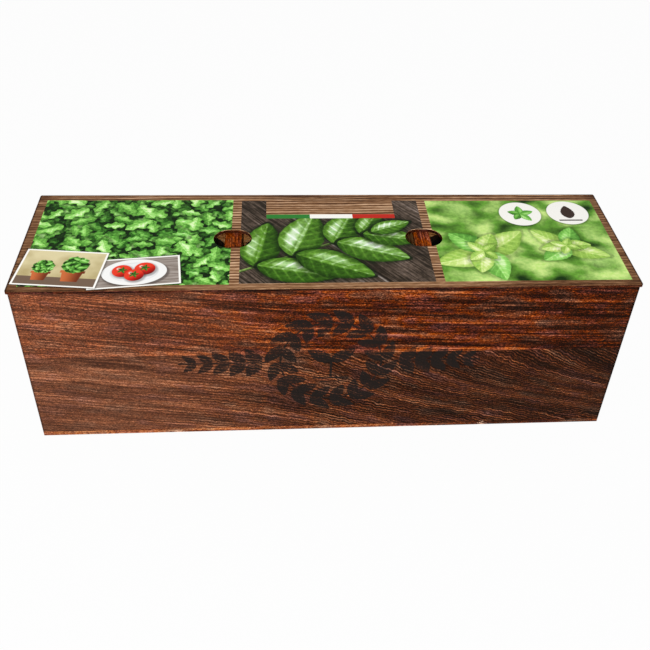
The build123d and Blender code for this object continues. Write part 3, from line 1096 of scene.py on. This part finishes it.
def cut_edges(finish):
    """Where the lid board is cut: round its outline and round its finger holes."""
    hole_x = centre_x("right_divider") * MM_PER_M
    straight = (HOLE_LENGTH - HOLE_WIDTH) / 2 * MM_PER_M
    beside = largest(abs(abs(finish.x) - hole_x) - straight, 0.0)
    from_hole = (beside * beside + finish.y * finish.y).math("SQRT") - HOLE_WIDTH / 2 * MM_PER_M
    return largest(abs(finish.y).ramp(*LID_EDGE_Y), abs(finish.x).ramp(*LID_EDGE_X),
                   from_hole.ramp(*HOLE_EDGE))


LONG_BOARD = {"relief": True, "stained": lambda finish: abs(finish.y).ramp(*LONG_BOARD_STAIN_Y)}
END_BOARD = {"relief": True, "stained": lambda finish: abs(finish.x).ramp(*END_BOARD_STAIN_X),
             "runs_along": "y", "face": "x"}
STRAIGHT_CUT = {"stain": UPPER_STAIN, "stain_and_shade_per_mm": 0.0007}
FLAT_CUT = {"stain": LOWER_STAIN, "stain_and_shade_per_mm": 0.0012, "rings": 0.26, "speckle": 0.8}
stained_wood("front_upper_wood", ornament=front_ornament, **STRAIGHT_CUT, **LONG_BOARD)
stained_wood("front_lower_wood", ornament=front_ornament, worn=True, **FLAT_CUT, **LONG_BOARD)
stained_wood("back_upper_wood", **STRAIGHT_CUT, **LONG_BOARD)
stained_wood("back_lower_wood", **FLAT_CUT, **LONG_BOARD)
stained_wood("end_upper_wood", **STRAIGHT_CUT, **END_BOARD)
stained_wood("end_lower_wood", **FLAT_CUT, **END_BOARD)
divider_wood = stained_wood("divider_wood", DIVIDER_STAIN, runs_along="y", face="x",
                            stained=lambda finish: finish.z.ramp(*DIVIDER_STAIN_Z))
batten_wood = stained_wood("batten_wood", RAW_WOOD, runs_along="y", face="z")
base_wood = stained_wood("base_wood", EDGE_STAIN, face="z", stain_and_shade_per_mm=0.002, worn=True)
lid_board = stained_wood("lid_board", LID_EDGE_STAIN_AND_SHADE, face="z", stained=cut_edges, raw=HARDBOARD)

end_low, end_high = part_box("right_end_upper_strip")
divider_low, divider_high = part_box("right_divider")
for name, side, seed in (("front", -1, 3.7), ("back", 1, 11.3)):
    for level, grain in (("upper", straight_grain), ("lower", figured_grain)):
        node = f"{name}_{level}_strip"
        low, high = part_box(node)
        notches = []
        for x_low, x_high, reach in ((end_low.x, high.x, end_high.y),
                                     (divider_low.x, divider_high.x, divider_high.y)):
            y_low, y_high = sorted((side * reach, high.y if side < 0 else low.y))
            notches += [(x_low, x_high, y_low, y_high), (-x_high, -x_low, y_low, y_high)]
        board = brushed_board(node, (0, side), notches, grain, seed)
        dress(board, bpy.data.materials[f"{name}_{level}_wood"])
for name, side, seed in (("left", -1, 23.1), ("right", 1, 31.9)):
    for level, grain in (("upper", straight_grain), ("lower", figured_grain)):
        board = brushed_board(f"{name}_end_{level}_strip", (side, 0), [], grain, seed)
        dress(board, bpy.data.materials[f"end_{level}_wood"])

for name in ("left", "right"):
    dress(nodes[f"{name}_divider"], divider_wood)
    dress(nodes[f"lid_{name}_batten"], batten_wood)
dress(nodes["base_panel"], base_wood)
dress(nodes["lid_panel"], lid_board)
print_sheet()


# Liners, coir blocks, seed packets and brads

COIR_CELL = 1.0 * MM
COIR_ROWS = 10
COIR_CORNER = 6.0 * MM
COIR_TOP_EASE = 2.0 * MM
COIR_FOOT = 2.0 * MM
COIR_ROUGHNESS = 1.0 * MM
COIR_BUMP = 0.5 * MM
HAIR_BEARINGS = (15.0, 75.0, 140.0)
STRANDS = 170
STRAND_LENGTH = 11.0 * MM
STRAND_RADIUS = 0.16 * MM
STRAND_CUTS = 5
STRAND_WAVE = 1.1 * MM
STRAND_HALF_WAVES = 2.6
STRAND_BOW = 3.0 * MM
STRAND_MARGIN = 8.0 * MM
STRAND_SINK_MM = (0.35, 0.75)
STRAND_TILT = 1.0
STRAND_GROWTH = (0.6, 1.1)
STRAND_SEED = 17
SLAB_SMOOTHING = math.radians(50)
PACKET_CELL = 0.8 * MM
PACKET_MARGIN = Vector((9.0 * MM, 7.0 * MM, 0.0))
PACKET_PAPER = 0.5 * MM
PACKET_SEAM = 4.0 * MM
PACKET_SWELL_REACH = 9.0 * MM
PACKET_CORNER = 1.5 * MM
PACKET_FLAP = 12.0 * MM
PACKET_SIDES_APART = 4.0 * MM
PACKET_BUMP = 0.25 * MM
LINER_BUMP = 0.03 * MM
PACKET_TURNS = {"left": 5.0, "middle": -4.0, "right": 3.0}

# Print on a packet, in millimetres from its middle
FRAME_LEFT = -18.5
FRAME_RIGHT = 13.5
FRAME_HALF = 12.0
FRAME_LINE = 0.8
PACKET_SPRIG = {"Pitch": 5.0, "Length": 8.5, "Width": 4.0, "Angle": math.radians(42),
                "Start": 1.0, "End": 20.0, "Taper": 0.4}
PACKET_SPRIG_FOOT = -14.0
PACKET_STEM = (-15.5, 7.5)
PACKET_STEM_HALF = 0.35
PACKET_TOP_Z = (19.3, 19.5)
CRIMP_PITCH = 1.1
CRIMP_START = (24.4, 24.8)


def coir_fibre():
    """Pressed brown fibre: hairs that lie every way, over dark gaps."""
    finish = Finish("coir_fibre")
    tone = cloud(finish.x / 5.0, finish.y / 5.0, finish.z / 5.0, detail=3.0) * 0.7
    for bearing in HAIR_BEARINGS:
        along, off = turned(finish.x, finish.y, (0.0, 0.0), bearing)
        hairs = cloud(along / 5.0, off / 0.4, finish.z / 0.4 + bearing, detail=2.0)
        tone = tone + (hairs - 0.5) * 0.8
    colour = tone.palette((0.0, 44, 26, 14), (0.3, 92, 58, 32), (0.55, 134, 92, 54),
                          (1.0, 186, 142, 92))
    return finish.set(Base_Color=colour, Roughness=0.95, Normal=bump(tone, COIR_BUMP),
                      Specular_IOR_Level=0.1)


def packet_kraft(name, centre, turn):
    """Kraft paper with a printed frame and sprig, crimped at its two ends."""
    finish = Finish(name)
    along, off = turned(finish.x, finish.y, centre, turn)
    fibres = cloud(along / 1.1, off / 0.5, finish.z / 0.5, detail=3.0, roughness=0.6)
    creases = cloud(along / 9.0, off / 9.0, 7.0, detail=3.0)
    colour = (fibres * 0.6 + creases * 0.4).palette((0.3, 168, 126, 82), (0.7, 214, 174, 124))
    top = finish.z.ramp(*PACKET_TOP_Z)

    def panel(inset):
        return (within(along, FRAME_LEFT + inset, FRAME_RIGHT - inset)
                * within(off, inset - FRAME_HALF, FRAME_HALF - inset))

    frame_line = panel(0.0) * (1.0 - panel(FRAME_LINE))
    sprig = LEAF_SPRIG.place(X=along - PACKET_SPRIG_FOOT, Y=off, **PACKET_SPRIG)
    stem = within(along, *PACKET_STEM) * within(off, -PACKET_STEM_HALF, PACKET_STEM_HALF)
    ink = largest(sprig["Leaf"], stem, frame_line) * top * (fibres.ramp(0.3, 0.5) * 0.3 + 0.7)
    colour = mix(ink * 0.85, colour, srgb(62, 84, 40))
    crimp = (along * (TURN / CRIMP_PITCH)).math("SINE") * abs(along).ramp(*CRIMP_START) * 0.5
    height = crimp + creases * 0.6 + fibres * 0.2
    return finish.set(Base_Color=colour, Roughness=fibres * 0.2 + 0.7, Normal=bump(height, PACKET_BUMP),
                      Specular_IOR_Level=0.2)


def grid_slab(name, low, high, cell, rows):
    """A block with a fine grid on its top, raised row by row."""
    centre, size = (low + high) / 2, high - low
    deselect()
    bpy.ops.mesh.primitive_grid_add(x_subdivisions=round(size.x / cell),
                                    y_subdivisions=round(size.y / cell),
                                    size=1.0, location=(centre.x, centre.y, low.z))
    slab = sized(bpy.context.object, name, size)
    raise_rows(size.z, rows)
    bpy.ops.object.shade_smooth_by_angle(angle=SLAB_SMOOTHING)
    return slab


def rounded(x, y, half, radius):
    """Move a place in a rectangle about the origin so that the rectangle's corners come out round."""
    corner_x = (abs(x) - half.x) / radius + 1.0
    corner_y = (abs(y) - half.y) / radius + 1.0
    if corner_x <= 0.0 or corner_y <= 0.0:
        return x, y
    round_x = corner_x * math.sqrt(1.0 - corner_y ** 2 / 2)
    round_y = corner_y * math.sqrt(1.0 - corner_x ** 2 / 2)
    return (math.copysign(half.x + (round_x - 1.0) * radius, x),
            math.copysign(half.y + (round_y - 1.0) * radius, y))


def link(thing):
    bpy.context.scene.collection.objects.link(thing)


def copy_to(thing, name, placing):
    """A copy with its own mesh, set in place."""
    copy = thing.copy()
    copy.data = thing.data.copy()
    copy.name = copy.data.name = name
    copy.data.transform(placing)
    link(copy)
    return copy


def coir_strand():
    """One crooked fibre along X."""
    deselect()
    bpy.ops.mesh.primitive_cylinder_add(vertices=4, radius=STRAND_RADIUS, depth=STRAND_LENGTH,
                                        rotation=(0.0, math.pi / 2, 0.0))
    strand = bpy.context.object
    bpy.ops.object.transform_apply(location=True, rotation=True, scale=True)
    bpy.ops.object.mode_set(mode="EDIT")
    pick(strand.data, "edges", lambda edge: abs(edge.verts[0].co.x - edge.verts[1].co.x) > NEAR)
    bpy.ops.mesh.subdivide(number_cuts=STRAND_CUTS)
    bpy.ops.object.mode_set(mode="OBJECT")
    for vertex in strand.data.vertices:
        share = vertex.co.x / STRAND_LENGTH
        vertex.co.y += STRAND_WAVE * math.cos(STRAND_HALF_WAVES * math.pi * share) + STRAND_BOW * share ** 2
    return strand


def coir_brick():
    """A pressed brick with loose strands on its top, where the middle one lies."""
    low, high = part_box("coir_block_middle")
    half, height = (high - low) / 2, high.z - low.z
    brick = grid_slab("coir_brick", low, high, COIR_CELL, COIR_ROWS)
    for vertex in brick.data.vertices:
        x, y = rounded(vertex.co.x, vertex.co.y, half, COIR_CORNER)
        rise = max(0.0, 1.0 - (high.z - vertex.co.z) / COIR_TOP_EASE)
        place = Vector((x, y, vertex.co.z)) * MM_PER_M
        rough = 0.5 + 0.45 * noise.noise(place / 4.5) + 0.4 * noise.noise(place / 1.6)
        rough = COIR_ROUGHNESS * min(1.0, max(0.0, rough)) * smooth(vertex.co.z, low.z, low.z + COIR_FOOT)
        inset = COIR_TOP_EASE * (1.0 - math.sqrt(1.0 - rise ** 2)) + 0.7 * rough
        vertex.co = (x * (1.0 - inset / half.x), y * (1.0 - inset / half.y),
                     vertex.co.z - rough * (vertex.co.z - low.z) / height)
    strand = coir_strand()
    dice = random.Random(STRAND_SEED)
    reach_x, reach_y = half.x - STRAND_MARGIN, half.y - STRAND_MARGIN
    deselect()
    for _ in range(STRANDS):
        place = Vector((dice.uniform(-reach_x, reach_x), dice.uniform(-reach_y, reach_y),
                        high.z - dice.uniform(*STRAND_SINK_MM) * MM))
        turn = Matrix.Rotation(dice.uniform(0.0, TURN), 4, "Z")
        tilt = Matrix.Rotation(math.radians(dice.uniform(-STRAND_TILT, STRAND_TILT)), 4, "Y")
        growth = Matrix.Scale(dice.uniform(*STRAND_GROWTH), 4)
        copy_to(strand, "strand", Matrix.Translation(place) @ turn @ tilt @ growth).select_set(True)
    bpy.data.objects.remove(strand)
    brick.select_set(True)
    bpy.context.view_layer.objects.active = brick
    bpy.ops.object.join()
    return brick


def packet_pouch():
    """A paper pouch about the origin: flat at its seams, full in the middle, with a folded flap."""
    coir_low, coir_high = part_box("coir_block_middle")
    low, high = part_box("seed_packet_middle")
    half = (coir_high - coir_low) / 2 - PACKET_MARGIN
    middle_z = (low.z + high.z) / 2
    half.z = PACKET_PAPER / 2
    bulge = (high.z - low.z) / 2 - half.z
    middle = Vector((0.0, 0.0, middle_z))
    pouch = grid_slab("seed_pouch", middle - half, middle + half, PACKET_CELL, 1)
    for vertex in pouch.data.vertices:
        x, y = rounded(vertex.co.x, vertex.co.y, half, PACKET_CORNER)
        up = 1.0 if vertex.co.z > middle_z else -1.0
        inward = min(half.x - abs(x), half.y - abs(y))
        full = smooth(inward, PACKET_SEAM, PACKET_SEAM + PACKET_SWELL_REACH)
        place = Vector((x, y, PACKET_SIDES_APART * up)) * MM_PER_M
        wrinkle = 0.6 * noise.noise(place / 7.0) + 0.4 * noise.noise(place / 2.4)
        flap = smooth(half.x - x, PACKET_FLAP, PACKET_FLAP - PACKET_CELL) if up > 0.0 else 0.0
        swell = full * (0.78 + 0.12 * wrinkle) + 0.14 * flap
        vertex.co = (x, y, vertex.co.z + up * bulge * swell)
    return pouch


def fill_liners():
    """A coir brick and a seed packet in each liner."""
    fibre = coir_fibre()
    brick, pouch = coir_brick(), packet_pouch()
    for index, side in enumerate(("left", "middle", "right")):
        x = centre_x(f"coir_block_{side}")
        shift = Matrix.Translation((x, 0.0, 0.0))
        half_turn = Matrix.Rotation(math.pi * index, 4, "Z")
        turn = PACKET_TURNS[side]
        paper = packet_kraft(f"packet_kraft_{side}", (x * MM_PER_M, 0.0), turn)
        lying = Matrix.Rotation(math.radians(turn), 4, "Z")
        for thing, material, name, placing, node, slot in (
                (brick, fibre, f"coir_brick_{side}", shift @ half_turn, f"coir_block_{side}", "coir"),
                (pouch, paper, f"seed_pouch_{side}", shift @ lying, f"seed_packet_{side}", "packet_paper")):
            piece = copy_to(thing, name, placing)
            dress(piece, material)
            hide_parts(node)
            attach(piece, f"{side}_liner")
    bpy.data.objects.remove(brick)
    bpy.data.objects.remove(pouch)


def liner_black():
    """Black thermoformed plastic, satin, with a faint mould grain."""
    finish = Finish("liner_black")
    grit = cloud(finish.x / 0.6, finish.y / 0.6, finish.z / 0.6)
    sweep = cloud(finish.x / 25.0, finish.y / 25.0, finish.z / 9.0)
    colour = (grit * 0.3 + sweep * 0.7).palette((0.3, 20, 20, 21), (0.7, 38, 38, 39))
    return finish.set(Base_Color=colour, Roughness=sweep * 0.2 + 0.32, Normal=bump(grit, LINER_BUMP))


def drawn_steel():
    """Bright drawn wire, with faint turning marks."""
    finish = Finish("drawn_steel")
    marks = cloud(finish.x / 0.5, finish.y / 0.5, finish.z / 0.15)
    colour = marks.palette((0.3, 150, 148, 144), (0.7, 196, 195, 192))
    return finish.set(Base_Color=colour, Metallic=1.0, Roughness=marks * 0.3 + 0.2)


fill_liners()
liner_plastic = liner_black()
for side in ("left", "middle", "right"):
    dress(nodes[f"liner_{side}"], liner_plastic)
dress(nodes["base_brads"], drawn_steel())


# Studio

def camera_frame():
    """The camera's right, up and backward directions from its pitch, yaw and roll."""
    pitch, yaw, roll = (math.radians(angle) for angle in (CAMERA_PITCH, CAMERA_YAW, CAMERA_ROLL))
    forward = Vector((math.sin(yaw) * math.cos(pitch), math.cos(yaw) * math.cos(pitch), -math.sin(pitch)))
    right = Vector((math.cos(yaw), -math.sin(yaw), 0.0))
    up = right.cross(forward)
    turned_right = math.cos(roll) * right + math.sin(roll) * up
    turned_up = math.cos(roll) * up - math.sin(roll) * right
    return turned_right, turned_up, -forward


def add_camera():
    camera = bpy.data.objects.new("camera", bpy.data.cameras.new("camera"))
    camera.data.sensor_width = SENSOR_WIDTH_MM
    camera.data.lens = FOCAL_LENGTH_PX / PICTURE_WIDTH_PX * SENSOR_WIDTH_MM
    camera.data.shift_x, camera.data.shift_y = CAMERA_SHIFT
    camera.data.clip_start = 0.01
    turn = Matrix(camera_frame()).transposed().to_4x4()
    camera.matrix_world = Matrix.Translation(CAMERA_PLACE) @ turn
    link(camera)
    bpy.context.scene.camera = camera


LAMP_AIM = Vector((0.0, 0.0, 0.06))


def add_lamp(name, place, size, power):
    """A square soft box aimed at the middle of the object."""
    lamp = bpy.data.objects.new(name, bpy.data.lights.new(name, "AREA"))
    lamp.data.size = size
    lamp.data.energy = power
    aim = LAMP_AIM - Vector(place)
    lamp.matrix_world = Matrix.Translation(place) @ aim.to_track_quat("-Z", "Y").to_matrix().to_4x4()
    link(lamp)


def seen_by_eye(tree):
    """1 on rays that show the background: straight from the camera, mirrored or through glass."""
    path = new_node(tree, "LightPath", {})
    kinds = ("Is Camera Ray", "Is Glossy Ray", "Is Transmission Ray")
    return largest(*(Shade(path.outputs[kind]) for kind in kinds))


AMBIENT = 0.48
FLOOR_SIZE = 6.0
FLOOR_Z = -0.0004
FLOOR_GREY = 0.5
FLOOR_GLOW = 0.965


def add_world():
    world = bpy.data.worlds.new("studio")
    bpy.context.scene.world = world
    world.use_nodes = True
    background = world.node_tree.nodes["Background"]
    eye = seen_by_eye(world.node_tree)
    plug(eye * (1.0 - AMBIENT) + AMBIENT, background.inputs["Strength"])
    background.inputs["Color"].default_value = (1.0, 1.0, 1.0, 1.0)


def add_floor():
    """A white floor that keeps a faint shadow."""
    deselect()
    bpy.ops.mesh.primitive_plane_add(size=FLOOR_SIZE, location=(0.0, 0.0, FLOOR_Z))
    floor = bpy.context.object
    floor.name = "floor"
    material = bpy.data.materials.new("floor_white")
    material.use_nodes = True
    tree = material.node_tree
    shader = tree.nodes["Principled BSDF"]
    shader.inputs["Base Color"].default_value = (FLOOR_GREY, FLOOR_GREY, FLOOR_GREY, 1.0)
    shader.inputs["Roughness"].default_value = 0.9
    glow = tree.nodes.new("ShaderNodeEmission")
    blend = tree.nodes.new("ShaderNodeMixShader")
    plug(seen_by_eye(tree) * FLOOR_GLOW, blend.inputs[0])
    tree.links.new(shader.outputs[0], blend.inputs[1])
    tree.links.new(glow.outputs[0], blend.inputs[2])
    tree.links.new(blend.outputs[0], tree.nodes["Material Output"].inputs["Surface"])
    dress(floor, material)


add_camera()
add_world()
add_floor()
add_lamp("key_lamp", (-0.5, -0.45, 0.3), 0.35, 1.4)
add_lamp("front_lamp", (-0.06, -1.0, 0.72), 0.3, 12.7)
bpy.context.scene.view_settings.view_transform = "Standard"
